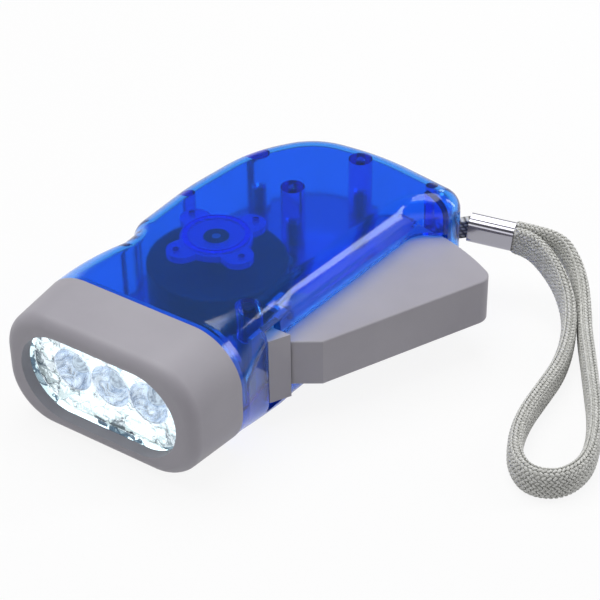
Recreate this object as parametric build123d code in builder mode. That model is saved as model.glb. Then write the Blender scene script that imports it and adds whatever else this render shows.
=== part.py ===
"""Hand-squeeze dynamo flashlight with a wrist strap, in millimetres.

Z is up and the flashlight lies flat on z = 0. It shines toward -Y. The squeeze lever
stands out on the +X side and closes by turning about +Z. The origin is on the resting
face, under the middle of the head, level with the flywheel.
"""
import os
from math import acos, atan2, cos, degrees, hypot, pi, radians, sin, tan

from build123d import *

os.makedirs("parts", exist_ok=True)

# ---- Housing: outline, walls and parting ----
body_height = 30.0          # thickness of the grip and of the head
wall = 1.8
edge_round = 5.2            # rounding of the grip's long edges
parting_z = 12.5            # where the two shells meet
mid_z = body_height / 2
inner_floor = wall
inner_roof = body_height - wall

seam_y = -30.5              # where the grey head meets the blue shells
seam_width = 53.0
seam_round = 12.0
seam_band = 2.5             # straight stretch behind the seam
shoulder_y = -22.0
shoulder_left, shoulder_right = -23.9, 25.6
shoulder_round = 8.5
neck_y = -13.0
neck_left, neck_right = -19.4, 25.0
neck_straight = 4.0         # straight stretch of side wall behind the neck, on the lever's side
tail_wall = 1.2             # wall behind the lever's tip
tail_wall_angles = (56.0, 82.0)         # where that wall starts and ends, seen from the pivot
outside_x, outside_y = 80.0, 60.0       # beyond the housing, for cuts that run out of it
round_margin = 0.01         # keeps a fully rounded end just short of half its height

# corners of the grip's plan and the radius that each is rounded to; the walls start straight
# at the neck, so that they meet the head's section there
grip_corners = [
    ((neck_right, neck_y + neck_straight), 30.0),
    ((28.3, 34.5), 6.5),
    ((37.2, 38.6), 5.6),
    ((33.4, 46.4), 5.5),
    ((11.0, 50.4), 60.0),
    ((-8.0, 48.6), 18.0),
    ((-18.5, 33.5), 35.0),
    ((-21.4, 13.0), 60.0),
    ((-21.4, -5.0), 6.0),
    ((-19.4, -8.5), 6.0),
]

# ---- Head ----
front_y = -46.0
front_width, front_height, front_round = 50.4, 28.6, 11.5
front_edge_round = 3.0
window_width, window_height = 41.5, 21.5
bezel_lip = 2.8             # depth of the window wall
head_bore_width, head_bore_height, head_bore_round = 46.0, 25.0, 10.0
spigot_length = 2.0
spigot_wall = 1.4
seat_clearance = 0.1
gasket_thickness = 0.5
gasket_land = 0.5           # how far the gasket stands back from the window's edge
lens_thickness = 1.6
lens_clearance = 0.2
reflector_depth = 8.0
bowl_depth = 3.0
bowl_floor_width, bowl_floor_height = 33.0, 13.0
led_pitch = 10.2
led_count = 3
led_radius = 2.5
led_flange_radius = 2.9
led_flange_height = 1.0
led_length = 7.6            # from the flange's rear to the tip of the dome
led_hole_clearance = 0.15
cup_radius = 4.9
led_dome_margin = 0.05      # keeps the dome just short of a full half sphere
board_thickness = 1.6

# ---- Squeeze lever ----
pivot_x, pivot_y = 19.0, -17.5
lever_thickness = 11.5
lever_swing = 20.0          # degrees, from open to closed
slot_clearance = 0.55       # above, below and behind the lever
lever_tip_radius = 57.6     # rear edge, about the pivot
lever_corner_round = 3.5
lever_inner_angle = 83.5    # inner edge of the plate, seen from the pivot
lever_face = ((27.4, -13.9), (33.0, -10.1), (50.9, 29.0))   # outer side, root to tip
lever_root_start = (21.6, -14.2)
hub_radius = 2.8
pivot_pin_radius = 1.4
running_clearance = 0.05
end_float = 0.2             # gap at each end of a turning piece
slot_hub_gap = 0.2          # the slot and the slider's window start this far outside the hub
lug_radius, lug_orbit, lug_height, lug_angle = 0.9, 11.0, 2.6, 80.0
lug_sink = 1.0              # how far the lug reaches down into the plate
lever_edge_round = 0.4

# ---- Lock slider ----
slider_travel = 2.4
slider_front_y, slider_rear_y = -19.2, -14.6
slider_toe, slider_proud = 0.3, 2.8   # how far the thumb ramp stands out, front and rear
slider_low_z, slider_high_z = mid_z - 8.3, mid_z + 8.3
window_margin = 0.35        # beside the slider, along Y
slider_window_low, slider_window_high = mid_z - 11.0, mid_z + 10.8
slider_plate_thickness = 0.9
slider_plate_front_y = -22.6
slider_plate_low_z, slider_plate_high_z = mid_z - 7.4, mid_z + 9.9
slider_wall_gap = 0.25
finger_bar_y, finger_end_y = -9.8, -5.5
finger_width, finger_depth = 1.2, 1.2

# ---- Gear train ----
gear_module = 0.6
pressure_angle = 25.0
tooth_backlash = 0.12
tooth_sink = 0.1            # how far a tooth's outline reaches into its disc
flank_steps = 5             # straight pieces along one side of a tooth
addendum = 0.8 * gear_module
dedendum = 1.05 * gear_module
sector_teeth, drive_pinion_teeth = 74, 10
drive_gear_teeth, rotor_pinion_teeth = 34, 10
sector_angles = (82.0, 118.5)     # toothed arc with the lever open
sector_low_z, sector_high_z = 6.8, 9.25
drive_gear_low_z, drive_gear_face = 4.0, 2.4
drive_pinion_top_z = 9.1
rotor_pinion_low_z, rotor_pinion_top_z = 3.8, 6.6
axle_radius = 1.0
axle_boss_radius = 2.4

# ---- Flywheel, magnet ring and coil ----
rotor_x, rotor_y = -2.5, 0.5
flywheel_radius = 16.0
flywheel_rim = 2.7
flywheel_edge_round = 0.6
flywheel_plate_low_z, flywheel_top_z = 19.4, 21.5
rim_low_z = 12.6
magnet_thickness = 3.1
magnet_low_z = 12.8
sleeve_radius = 2.0
stator_air_gap = 0.5
core_plate = 1.2
core_low_z, core_high_z = 12.0, 18.5
core_eye_radius = 2.6
claw_count = 8
claw_width, claw_thickness = 2.2, 0.9
coil_outer_radius = 8.2
core_tube_wall = 1.4
bracket_thickness = 1.4
bracket_top_z = 12.0
bracket_posts = [(-12.5, -6.0), (-9.5, 14.0), (3.0, 19.5)]
bracket_post_radius = 2.2
bracket_hub_radius = 5.0
bracket_screw_radius, bracket_screw_head_radius = 0.8, 1.5
bracket_screw_length = 6.0

# ---- Top bearing ----
bearing_plate_gap = 0.6     # under the roof
bearing_plate_top_z = inner_roof - bearing_plate_gap
bearing_plate_thickness = 1.5
bearing_plate_radius = 8.2
lobe_reach, lobe_width = 12.5, 7.0
lobe_angles = (68.0, 158.0, 248.0, 338.0)
bearing_bush_radius = 2.9
bearing_bush_low_z = flywheel_top_z + 0.7
ring_boss_radius, ring_boss_wall = 7.6, 1.2
stake_radius, stake_orbit = 0.8, 10.4

# ---- Screw posts ----
screw_posts = [(0.8, 25.5), (7.3, 44.0), (-14.2, 33.0)]
post_radius = 2.8
screw_radius, screw_head_radius, screw_head_height = 1.0, 2.0, 1.6
screw_hole_clearance = 0.15
counterbore_depth = 5.0
screw_length = 14.0
screw_tip_gap = 1.0         # empty bore above the screw's tip
locating_peg = (-17.6, 10.4)
locating_peg_radius = 1.5
strap_post = (27.0, 43.45)
strap_post_radius = 1.3
strap_post_relief = 0.2     # solid left round the post where the strap's hole meets it
pivot_boss_radius = 2.8

# ---- Return spring ----
pivot_boss_step = 2.2       # height of the wide foot of the pin's lower boss
spring_wire = 0.6
spring_turns = 3
spring_pitch = 0.65
spring_boss_radius = 2.2
spring_leg = 4.0

# ---- Electronics ----
capacitor_radius, capacitor_length, capacitor_x = 2.5, 8.0, -9.0
diode_radius, diode_length, diode_pitch, diode_x = 0.9, 3.8, 3.6, 8.0
diode_count = 4
lead_radius = 0.45
lead_gap = 1.4
lead_bend = 1.6

# ---- Wrist strap ----
strap_width, strap_thickness = 7.0, 2.3
strap_edge_round = strap_thickness / 2 - 0.1
ferrule_start = (33.6, 50.3, 16.4)
ferrule_heading = (0.945, 0.31, -0.09)
ferrule_length = 10.6
ferrule_width, ferrule_height = 5.2, 6.2
ferrule_wall = 0.45
ferrule_round = 1.6
neck_strap_height, neck_strap_thickness = 4.6, 2.0
neck_eye_wall = 0.75
neck_clearance = 0.3
neck_reach = 0.5            # how far the folded end runs into the ferrule and past the post
# the strap's middle line, from the ferrule, round its far bend and back
strap_lead = 4.0            # straight run out of the ferrule, at both ends
strap_route = [
    (52.4, 59.6, 12.6), (56.9, 58.4, 10.0), (61.0, 55.0, 7.4),
    (65.0, 49.4, 5.2), (68.9, 42.6, 3.9), (73.6, 35.4, 3.6), (79.0, 26.8, 3.6),
    (84.2, 18.6, 3.6), (88.3, 10.0, 3.6), (90.4, 2.4, 3.6), (88.6, -4.6, 3.6),
    (82.8, -7.4, 3.6), (77.2, -4.2, 3.6), (73.6, 2.6, 3.6), (71.6, 10.4, 3.6),
    (70.8, 19.4, 3.6), (69.9, 28.6, 3.6), (67.3, 37.6, 4.2), (63.4, 45.4, 6.2),
    (58.6, 50.2, 9.2), (53.4, 52.8, 12.2),
]


# ================= Shared geometry =================

def polar(centre, radius, angle):
    """Point at a radius and an angle in degrees about a centre."""
    return (centre[0] + radius * cos(radians(angle)), centre[1] + radius * sin(radians(angle)))


def pitch_radius(teeth):
    return gear_module * teeth / 2


pivot = (pivot_x, pivot_y)
rotor_centre = (rotor_x, rotor_y)
lever_low_z = mid_z - lever_thickness / 2
lever_high_z = mid_z + lever_thickness / 2
slot_low_z = lever_low_z - slot_clearance
slot_high_z = lever_high_z + slot_clearance
slot_radius = lever_tip_radius + slot_clearance

# The drive gear's axle stands where both of its meshes are at their centre distance.
first_centres = pitch_radius(sector_teeth) + pitch_radius(drive_pinion_teeth)
second_centres = pitch_radius(drive_gear_teeth) + pitch_radius(rotor_pinion_teeth)
pivot_to_rotor = hypot(rotor_x - pivot_x, rotor_y - pivot_y)
rotor_bearing = degrees(atan2(rotor_y - pivot_y, rotor_x - pivot_x))
opening_angle = degrees(acos(
    (first_centres**2 + pivot_to_rotor**2 - second_centres**2) / (2 * first_centres * pivot_to_rotor)
))
sector_mesh_angle = rotor_bearing - opening_angle
drive_axis = polar(pivot, first_centres, sector_mesh_angle)
rotor_mesh_angle = degrees(atan2(rotor_y - drive_axis[1], rotor_x - drive_axis[0]))


def shell_volume(inset):
    """The closed outer form of both shells, every wall moved inward by the inset."""
    corners = [point for point, _ in grip_corners]
    radii = [radius for _, radius in grip_corners]
    with BuildPart() as volume:
        with BuildSketch(Plane.XY.offset(inset)):
            with BuildLine():
                side = FilletPolyline(
                    (neck_right, neck_y - inset), *corners, (neck_left, neck_y - inset), radius=radii
                )
                Line(side @ 1, side @ 0)
            make_face()
            if inset:
                offset(amount=-inset, kind=Kind.INTERSECTION)
        extrude(amount=body_height - 2 * inset)
        levels = volume.edges().filter_by(Plane.XY).group_by(Axis.Z)
        long_edges = [
            edge for level in (levels[0], levels[-1]) for edge in level
            if edge.center().Y > neck_y + 0.1
        ]
        fillet(long_edges, edge_round - inset)
        with BuildSketch(Plane.XZ.offset(-seam_y)):
            with Locations((0, mid_z)):
                RectangleRounded(seam_width - 2 * inset, body_height - 2 * inset, seam_round - inset)
        extrude(amount=-seam_band)
        with BuildSketch(Plane.XZ.offset(-seam_y - seam_band)):
            with Locations((0, mid_z)):
                RectangleRounded(seam_width - 2 * inset, body_height - 2 * inset, seam_round - inset)
        with BuildSketch(Plane.XZ.offset(-shoulder_y)):
            with Locations(((shoulder_left + shoulder_right) / 2, mid_z)):
                RectangleRounded(
                    shoulder_right - shoulder_left - 2 * inset,
                    body_height - 2 * inset,
                    shoulder_round - inset,
                )
        with BuildSketch(Plane.XZ.offset(-neck_y)):
            with Locations(((neck_left + neck_right) / 2, mid_z)):
                RectangleRounded(
                    neck_right - neck_left - 2 * inset, body_height - 2 * inset, edge_round - inset
                )
        loft()
    return volume.part


def tooth_points(teeth):
    """Corners of one tooth about the +X axis, from an involute of the base circle."""
    pitch = pitch_radius(teeth)
    base = pitch * cos(radians(pressure_angle))
    root = pitch - dedendum
    tip = pitch + addendum
    half_thickness = (pi * gear_module / 2 - tooth_backlash) / (2 * pitch)
    flank = []
    for step in range(flank_steps + 1):
        radius = max(base, root) + (tip - max(base, root)) * step / flank_steps
        angle = acos(min(1.0, base / radius))
        rolled = tan(angle) - angle
        at_pitch = tan(radians(pressure_angle)) - radians(pressure_angle)
        flank.append((radius, half_thickness + at_pitch - rolled))
    flank.insert(0, (root - tooth_sink, flank[0][1]))
    right = [(radius * cos(angle), -radius * sin(angle)) for radius, angle in flank]
    left = [(x, -y) for x, y in reversed(right)]
    return right + left


def gear_disc(centre, teeth, first_angle, low_z, high_z):
    """Add a toothed disc to the current part, with one tooth at the first angle."""
    with BuildSketch(Plane.XY.offset(low_z)) as profile:
        with Locations(centre):
            Circle(pitch_radius(teeth) - dedendum)
            with PolarLocations(0, teeth, start_angle=first_angle):
                Polygon(*tooth_points(teeth), align=None)
    extrude(profile.sketch, amount=high_z - low_z)


def disc(centre, radius, low_z, high_z, mode=Mode.ADD):
    """Add or cut an upright cylinder between two heights."""
    with BuildSketch(Plane.XY.offset(low_z)) as profile:
        with Locations(centre):
            Circle(radius)
    extrude(profile.sketch, amount=high_z - low_z, mode=mode)


def save(piece, name):
    """Label a finished piece and write it under its name."""
    piece.part.label = name
    export_step(piece.part, f"parts/{name}.step")


outer_form = shell_volume(0)
inner_form = shell_volume(wall)


# ================= Housing shells =================

# Everything that stands inside the two shells and is cut to their outer form.
with BuildPart() as housing_posts:
    with BuildSketch(Plane.XY):
        with Locations(*screw_posts):
            Circle(post_radius)
        with Locations(strap_post):
            Circle(strap_post_radius)
        with Locations(locating_peg):
            Circle(locating_peg_radius)
    extrude(amount=body_height)
    # The wall behind the lever's tip closes the tail's corner.
    with BuildSketch(Plane.XY):
        with Locations(pivot):
            Circle(slot_radius + tail_wall)
            Circle(slot_radius, mode=Mode.SUBTRACT)
        with BuildLine():
            Polyline(pivot, polar(pivot, 2 * slot_radius, tail_wall_angles[0]),
                     polar(pivot, 2 * slot_radius, tail_wall_angles[1]), close=True)
        make_face(mode=Mode.INTERSECT)
    extrude(amount=body_height)
    # bosses for the lever's pin, for the two axles and for the bracket
    with BuildSketch(Plane.XY):
        with Locations(pivot):
            Circle(pivot_boss_radius)
    extrude(amount=inner_floor + pivot_boss_step)
    with BuildSketch(Plane.XY):
        with Locations(pivot):
            Circle(spring_boss_radius)
    extrude(amount=sector_low_z - end_float)
    with BuildSketch(Plane.XY.offset(lever_high_z + end_float)):
        with Locations(pivot):
            Circle(pivot_boss_radius)
    extrude(amount=body_height - lever_high_z - end_float)
    with BuildSketch(Plane.XY):
        with Locations(drive_axis):
            Circle(axle_boss_radius)
    extrude(amount=drive_gear_low_z - end_float)
    with BuildSketch(Plane.XY):
        with Locations(rotor_centre):
            Circle(axle_boss_radius)
    extrude(amount=rotor_pinion_low_z - end_float)
    with BuildSketch(Plane.XY):
        with Locations(*bracket_posts):
            Circle(bracket_post_radius)
    extrude(amount=bracket_top_z - bracket_thickness)
    # ring under the roof that the bearing plate is pressed against
    with BuildSketch(Plane.XY.offset(bearing_plate_top_z)):
        with Locations(rotor_centre):
            Circle(ring_boss_radius)
            Circle(ring_boss_radius - ring_boss_wall, mode=Mode.SUBTRACT)
    extrude(amount=body_height - bearing_plate_top_z)
    # stakes that hold the bearing plate's lobes
    with BuildSketch(Plane.XY.offset(bearing_plate_top_z - bearing_plate_thickness)):
        with Locations(*[polar(rotor_centre, stake_orbit, angle) for angle in lobe_angles]):
            Circle(stake_radius)
    extrude(amount=body_height - bearing_plate_top_z + bearing_plate_thickness)

# Bores and openings of the housing, shared by both shells.
slot_inner_x = pivot_x + hub_radius + slot_hub_gap
neck_run = hypot(ferrule_start[0] - strap_post[0], ferrule_start[1] - strap_post[1])
neck_path_angle = degrees(atan2(ferrule_start[1] - strap_post[1], ferrule_start[0] - strap_post[0]))
with BuildPart() as housing_cuts:
    # the lever's slot in the side wall
    with BuildSketch(Plane.XY.offset(slot_low_z)):
        with Locations(pivot):
            Circle(slot_radius)
        with BuildLine():
            Polyline((slot_inner_x, slider_rear_y), (outside_x, slider_rear_y),
                     (outside_x, outside_y), (slot_inner_x, outside_y), close=True)
        make_face(mode=Mode.INTERSECT)
    extrude(amount=slot_high_z - slot_low_z)
    # the lock slider's window
    with BuildSketch(Plane.XY.offset(slider_window_low)):
        with BuildLine():
            Polyline(
                (slot_inner_x, slider_front_y - window_margin),
                (outside_x, slider_front_y - window_margin),
                (outside_x, slider_rear_y + window_margin),
                (slot_inner_x, slider_rear_y + window_margin),
                close=True,
            )
        make_face()
    extrude(amount=slider_window_high - slider_window_low)
    # screws come in from below
    with BuildSketch(Plane.XY):
        with Locations(*screw_posts):
            Circle(screw_head_radius + screw_hole_clearance)
    extrude(amount=counterbore_depth)
    with BuildSketch(Plane.XY):
        with Locations(*screw_posts):
            Circle(screw_radius + screw_hole_clearance)
    extrude(amount=parting_z)
    with BuildSketch(Plane.XY.offset(parting_z)):
        with Locations(*screw_posts):
            Circle(screw_radius)
    extrude(amount=counterbore_depth + screw_length - parting_z + screw_tip_gap)
    # lever pin, axles and bracket screws
    with BuildSketch(Plane.XY.offset(inner_floor)):
        with Locations(pivot):
            Circle(pivot_pin_radius)
        with Locations(drive_axis, rotor_centre):
            Circle(axle_radius)
    extrude(amount=inner_roof - inner_floor)
    with BuildSketch(Plane.XY.offset(bracket_top_z - bracket_screw_length)):
        with Locations(*bracket_posts):
            Circle(bracket_screw_radius)
    extrude(amount=bracket_screw_length)
    # hole in the tail's corner for the strap's neck
    with BuildSketch(Plane.XY.offset(ferrule_start[2] - neck_strap_height / 2 - neck_clearance)):
        with Locations(Location(((strap_post[0] + ferrule_start[0]) / 2,
                                 (strap_post[1] + ferrule_start[1]) / 2), neck_path_angle)):
            Rectangle(neck_run, neck_strap_thickness + 2 * neck_clearance)
        with Locations(strap_post):
            Circle(strap_post_radius + strap_post_relief, mode=Mode.SUBTRACT)
    extrude(amount=neck_strap_height + 2 * neck_clearance)

posts_inside = housing_posts.part & outer_form

with BuildPart() as housing:
    add(outer_form)
    add(inner_form, mode=Mode.SUBTRACT)
    add(posts_inside)
    add(housing_cuts.part, mode=Mode.SUBTRACT)

with BuildPart() as top_shell:
    add(housing.part)
    split(bisect_by=Plane.XY.offset(parting_z), keep=Keep.TOP)
save(top_shell, "top_shell")

with BuildPart() as bottom_shell:
    add(housing.part)
    split(bisect_by=Plane.XY.offset(parting_z), keep=Keep.BOTTOM)
save(bottom_shell, "bottom_shell")


# ================= Head =================

def facing(y):
    """Plane across the light's beam at a station along Y; its normal points out of the front."""
    return Plane.XZ.offset(-y)


def centred_section(width, height, corner):
    """Rounded rectangle on the head's middle line, in the current sketch."""
    with Locations((0, mid_z)):
        RectangleRounded(width, height, corner)


def centred_cut(width, height, corner):
    with Locations((0, mid_z)):
        RectangleRounded(width, height, corner, mode=Mode.SUBTRACT)


gasket_front_y = front_y + bezel_lip
lens_front_y = gasket_front_y + gasket_thickness
reflector_front_y = lens_front_y + lens_thickness
reflector_rear_y = reflector_front_y + reflector_depth
board_front_y = reflector_rear_y + led_flange_height
board_rear_y = board_front_y + board_thickness
led_stations = [(index - (led_count - 1) / 2) * led_pitch for index in range(led_count)]
insert_width = head_bore_width - 2 * lens_clearance
insert_height = head_bore_height - 2 * lens_clearance
insert_round = head_bore_round - lens_clearance
spigot_inset = wall + seat_clearance

with BuildPart() as head_bezel:
    with BuildSketch(facing(front_y)):
        centred_section(front_width, front_height, front_round)
    with BuildSketch(facing(seam_y)):
        centred_section(seam_width, body_height, seam_round)
    loft()
    fillet(head_bezel.edges().group_by(Axis.Y)[0], front_edge_round)
    with BuildSketch(facing(seam_y)):
        centred_section(
            seam_width - 2 * spigot_inset, body_height - 2 * spigot_inset, seam_round - spigot_inset
        )
    extrude(amount=-spigot_length)
    with BuildSketch(facing(gasket_front_y)):
        centred_section(head_bore_width, head_bore_height, head_bore_round)
    extrude(amount=gasket_front_y - seam_y, mode=Mode.SUBTRACT)
    with BuildSketch(facing(seam_y)):
        centred_section(
            seam_width - 2 * (spigot_inset + spigot_wall),
            body_height - 2 * (spigot_inset + spigot_wall),
            seam_round - spigot_inset - spigot_wall,
        )
    extrude(amount=-spigot_length, mode=Mode.SUBTRACT)
    with BuildSketch(facing(front_y)):
        centred_section(window_width, window_height, window_height / 2 - round_margin)
    extrude(amount=-bezel_lip, mode=Mode.SUBTRACT)
save(head_bezel, "head_bezel")

with BuildPart() as lens_gasket:
    with BuildSketch(facing(gasket_front_y)):
        centred_section(insert_width, insert_height, insert_round)
        centred_cut(
            window_width + 2 * gasket_land, window_height + 2 * gasket_land, insert_round
        )
    extrude(amount=-gasket_thickness)
save(lens_gasket, "lens_gasket")

with BuildPart() as lens:
    with BuildSketch(facing(lens_front_y)):
        centred_section(insert_width, insert_height, insert_round)
    extrude(amount=-lens_thickness)
save(lens, "lens")

with BuildPart() as reflector:
    with BuildSketch(facing(reflector_front_y)):
        centred_section(insert_width, insert_height, insert_round)
    extrude(amount=-reflector_depth)
    # sloping bowl behind the lens
    with BuildSketch(facing(reflector_front_y)):
        centred_section(window_width, window_height, window_height / 2 - round_margin)
    with BuildSketch(facing(reflector_front_y + bowl_depth)):
        centred_section(bowl_floor_width, bowl_floor_height, bowl_floor_height / 2 - round_margin)
    loft(mode=Mode.SUBTRACT)
    # one cup for each lamp, and the hole that its lamp stands in
    for station in led_stations:
        with BuildSketch(facing(reflector_front_y + bowl_depth)):
            with Locations((station, mid_z)):
                Circle(cup_radius)
        with BuildSketch(facing(reflector_rear_y)):
            with Locations((station, mid_z)):
                Circle(led_radius + led_hole_clearance)
        loft(mode=Mode.SUBTRACT)
save(reflector, "reflector")

with BuildPart() as led_board:
    with BuildSketch(facing(board_front_y)):
        centred_section(insert_width, insert_height, insert_round)
    extrude(amount=-board_thickness)
save(led_board, "led_board")

for number, station in enumerate(led_stations, start=1):
    with BuildPart() as led:
        with BuildSketch(facing(board_front_y)):
            with Locations((station, mid_z)):
                Circle(led_flange_radius)
        extrude(amount=led_flange_height)
        with BuildSketch(facing(board_front_y)):
            with Locations((station, mid_z)):
                Circle(led_radius)
        extrude(amount=led_length)
        fillet(led.edges().group_by(Axis.Y)[0], led_radius - led_dome_margin)
    save(led, f"led_{number}")

with BuildPart() as smoothing_capacitor:
    with BuildSketch(Plane.YZ.offset(capacitor_x - capacitor_length / 2)):
        with Locations((board_rear_y + capacitor_radius, mid_z)):
            Circle(capacitor_radius)
    extrude(amount=capacitor_length)
save(smoothing_capacitor, "smoothing_capacitor")

with BuildPart() as rectifier_diodes:
    with BuildSketch(Plane.XY.offset(mid_z - diode_length / 2)):
        with Locations(*[
            (diode_x + (index - (diode_count - 1) / 2) * diode_pitch, board_rear_y + diode_radius)
            for index in range(diode_count)
        ]):
            Circle(diode_radius)
    extrude(amount=diode_length)
save(rectifier_diodes, "rectifier_diodes")


# ================= Squeeze lever =================

sector_step = 360 / sector_teeth
sector_tooth_angles = [
    sector_mesh_angle + index * sector_step
    for index in range(-sector_teeth // 4, sector_teeth // 4)
    if sector_angles[0] < sector_mesh_angle + index * sector_step < sector_angles[1]
]
face_root, face_knee, face_tip = lever_face
beyond_tip = (2 * face_tip[0] - face_knee[0], 2 * face_tip[1] - face_knee[1])

with BuildPart() as lever:
    with BuildSketch(Plane.XY.offset(lever_low_z)) as lever_plan:
        with BuildLine():
            Polyline(
                pivot, lever_root_start, face_root, face_knee, beyond_tip,
                polar(pivot, 2 * lever_tip_radius, lever_inner_angle), close=True,
            )
        make_face()
        with Locations(pivot):
            Circle(lever_tip_radius, mode=Mode.INTERSECT)
        fillet(lever_plan.vertices().sort_by(Axis.X)[-1], lever_corner_round)
    extrude(amount=lever_thickness)
    fillet(lever.edges().filter_by(Plane.XY), lever_edge_round)
    disc(pivot, hub_radius, sector_low_z, lever_high_z)
    # toothed sector under the plate
    with BuildSketch(Plane.XY.offset(sector_low_z)):
        with BuildLine():
            Polyline(pivot, polar(pivot, 2 * first_centres, sector_angles[0]),
                     polar(pivot, 2 * first_centres, sector_angles[1]), close=True)
        make_face()
        with Locations(pivot):
            Circle(pitch_radius(sector_teeth) - dedendum, mode=Mode.INTERSECT)
        for angle in sector_tooth_angles:
            with Locations(Location(pivot, angle)):
                Polygon(*tooth_points(sector_teeth), align=None)
    extrude(amount=sector_high_z - sector_low_z)
    # lug that the lock slider's finger stands beside
    disc(polar(pivot, lug_orbit, lug_angle), lug_radius, lever_high_z - lug_sink,
         lever_high_z + lug_height)
    disc(pivot, pivot_pin_radius + running_clearance, sector_low_z, lever_high_z, Mode.SUBTRACT)
save(lever, "lever")

with BuildPart() as lever_pivot_pin:
    disc(pivot, pivot_pin_radius, inner_floor, inner_roof)
save(lever_pivot_pin, "lever_pivot_pin")

spring_radius = spring_boss_radius + running_clearance + spring_wire / 2
spring_low_z = inner_floor + pivot_boss_step + spring_wire / 2 + running_clearance
with BuildPart() as return_spring:
    with BuildLine():
        coil_path = Helix(
            pitch=spring_pitch, height=spring_pitch * spring_turns, radius=spring_radius,
            center=(pivot_x, pivot_y, spring_low_z),
        )
        fixed_leg = Line(coil_path @ 0, coil_path @ 0 - (coil_path % 0) * spring_leg)
        moving_leg = Line(coil_path @ 1, coil_path @ 1 + (coil_path % 1) * spring_leg)
    for path in (coil_path, fixed_leg, moving_leg):
        with BuildSketch(Plane(path @ 0, z_dir=path % 0)):
            Circle(spring_wire / 2)
        sweep(path=path, is_frenet=True)
save(return_spring, "return_spring")


# ================= Lock slider =================

plate_outer_x = neck_right - wall - slider_wall_gap
plate_inner_x = plate_outer_x - slider_plate_thickness
ramp_start_x = neck_right + slider_toe
ramp_end_x = neck_right + slider_proud
finger_low_z = slider_plate_high_z - finger_depth

with BuildPart() as lock_slider:
    # thumb ramp, standing out through its window
    with BuildSketch(Plane.XY.offset(slider_low_z)):
        with BuildLine():
            Polyline((plate_inner_x, slider_front_y), (ramp_start_x, slider_front_y),
                     (ramp_end_x, slider_rear_y), (plate_inner_x, slider_rear_y), close=True)
        make_face()
    extrude(amount=slider_high_z - slider_low_z)
    # plate that slides on the inside of the wall
    with BuildSketch(Plane.XY.offset(slider_plate_low_z)):
        with BuildLine():
            Polyline((plate_inner_x, slider_plate_front_y), (plate_outer_x, slider_plate_front_y),
                     (plate_outer_x, slider_rear_y), (plate_inner_x, slider_rear_y), close=True)
        make_face()
    extrude(amount=slider_plate_high_z - slider_plate_low_z)
    # bent finger that drops beside the lever's lug
    with BuildSketch(Plane.XY.offset(finger_low_z)):
        with BuildLine():
            Polyline(
                (plate_outer_x, slider_rear_y - finger_width), (plate_outer_x, finger_bar_y),
                (pivot_x + finger_width / 2, finger_bar_y), (pivot_x + finger_width / 2, finger_end_y),
                (pivot_x - finger_width / 2, finger_end_y),
                (pivot_x - finger_width / 2, finger_bar_y - finger_width),
                (plate_inner_x, finger_bar_y - finger_width),
                (plate_inner_x, slider_rear_y - finger_width), close=True,
            )
        make_face()
    extrude(amount=finger_depth)
save(lock_slider, "lock_slider")


# ================= Gear train and flywheel =================

drive_gear_high_z = drive_gear_low_z + drive_gear_face
with BuildPart() as drive_gear:
    gear_disc(drive_axis, drive_gear_teeth, rotor_mesh_angle, drive_gear_low_z, drive_gear_high_z)
    gear_disc(drive_axis, drive_pinion_teeth, sector_mesh_angle + 180 * (1 + 1 / drive_pinion_teeth),
              drive_gear_high_z, drive_pinion_top_z)
    disc(drive_axis, sleeve_radius, drive_pinion_top_z,
         bracket_top_z - bracket_thickness - end_float)
    disc(drive_axis, axle_radius + running_clearance, drive_gear_low_z, bracket_top_z, Mode.SUBTRACT)
save(drive_gear, "drive_gear")

with BuildPart() as drive_gear_axle:
    disc(drive_axis, axle_radius, inner_floor, bracket_top_z)
save(drive_gear_axle, "drive_gear_axle")

with BuildPart() as flywheel_pinion:
    gear_disc(rotor_centre, rotor_pinion_teeth, rotor_mesh_angle + 180 * (1 + 1 / rotor_pinion_teeth),
              rotor_pinion_low_z, rotor_pinion_top_z)
    disc(rotor_centre, sleeve_radius, rotor_pinion_top_z, bearing_bush_low_z - end_float)
    disc(rotor_centre, axle_radius + running_clearance, rotor_pinion_low_z, bearing_bush_low_z,
         Mode.SUBTRACT)
save(flywheel_pinion, "flywheel_pinion")

with BuildPart() as flywheel_axle:
    disc(rotor_centre, axle_radius, inner_floor, bearing_plate_top_z)
save(flywheel_axle, "flywheel_axle")

magnet_outer_radius = flywheel_radius - flywheel_rim
magnet_inner_radius = magnet_outer_radius - magnet_thickness
with BuildPart() as flywheel:
    disc(rotor_centre, flywheel_radius, rim_low_z, flywheel_top_z)
    disc(rotor_centre, magnet_outer_radius, rim_low_z, flywheel_plate_low_z, Mode.SUBTRACT)
    disc(rotor_centre, sleeve_radius, flywheel_plate_low_z, flywheel_top_z, Mode.SUBTRACT)
    fillet(flywheel.edges().group_by(Axis.Z)[-1].sort_by(SortBy.LENGTH)[-1], flywheel_edge_round)
save(flywheel, "flywheel")

with BuildPart() as magnet_ring:
    disc(rotor_centre, magnet_outer_radius, magnet_low_z, flywheel_plate_low_z)
    disc(rotor_centre, magnet_inner_radius, magnet_low_z, flywheel_plate_low_z, Mode.SUBTRACT)
save(magnet_ring, "magnet_ring")


# ================= Stator =================

core_radius = magnet_inner_radius - stator_air_gap
core_tube_radius = core_eye_radius + core_tube_wall


def claws(low_z, high_z, first_angle):
    """Add one core's ring of pole fingers to the current part."""
    with BuildSketch(Plane.XY.offset(low_z)) as fingers:
        with Locations(rotor_centre):
            with PolarLocations(core_radius - claw_thickness, claw_count, start_angle=first_angle):
                Rectangle(claw_thickness, claw_width, align=(Align.MIN, Align.CENTER))
            Circle(core_radius, mode=Mode.INTERSECT)
    extrude(fingers.sketch, amount=high_z - low_z)


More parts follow.
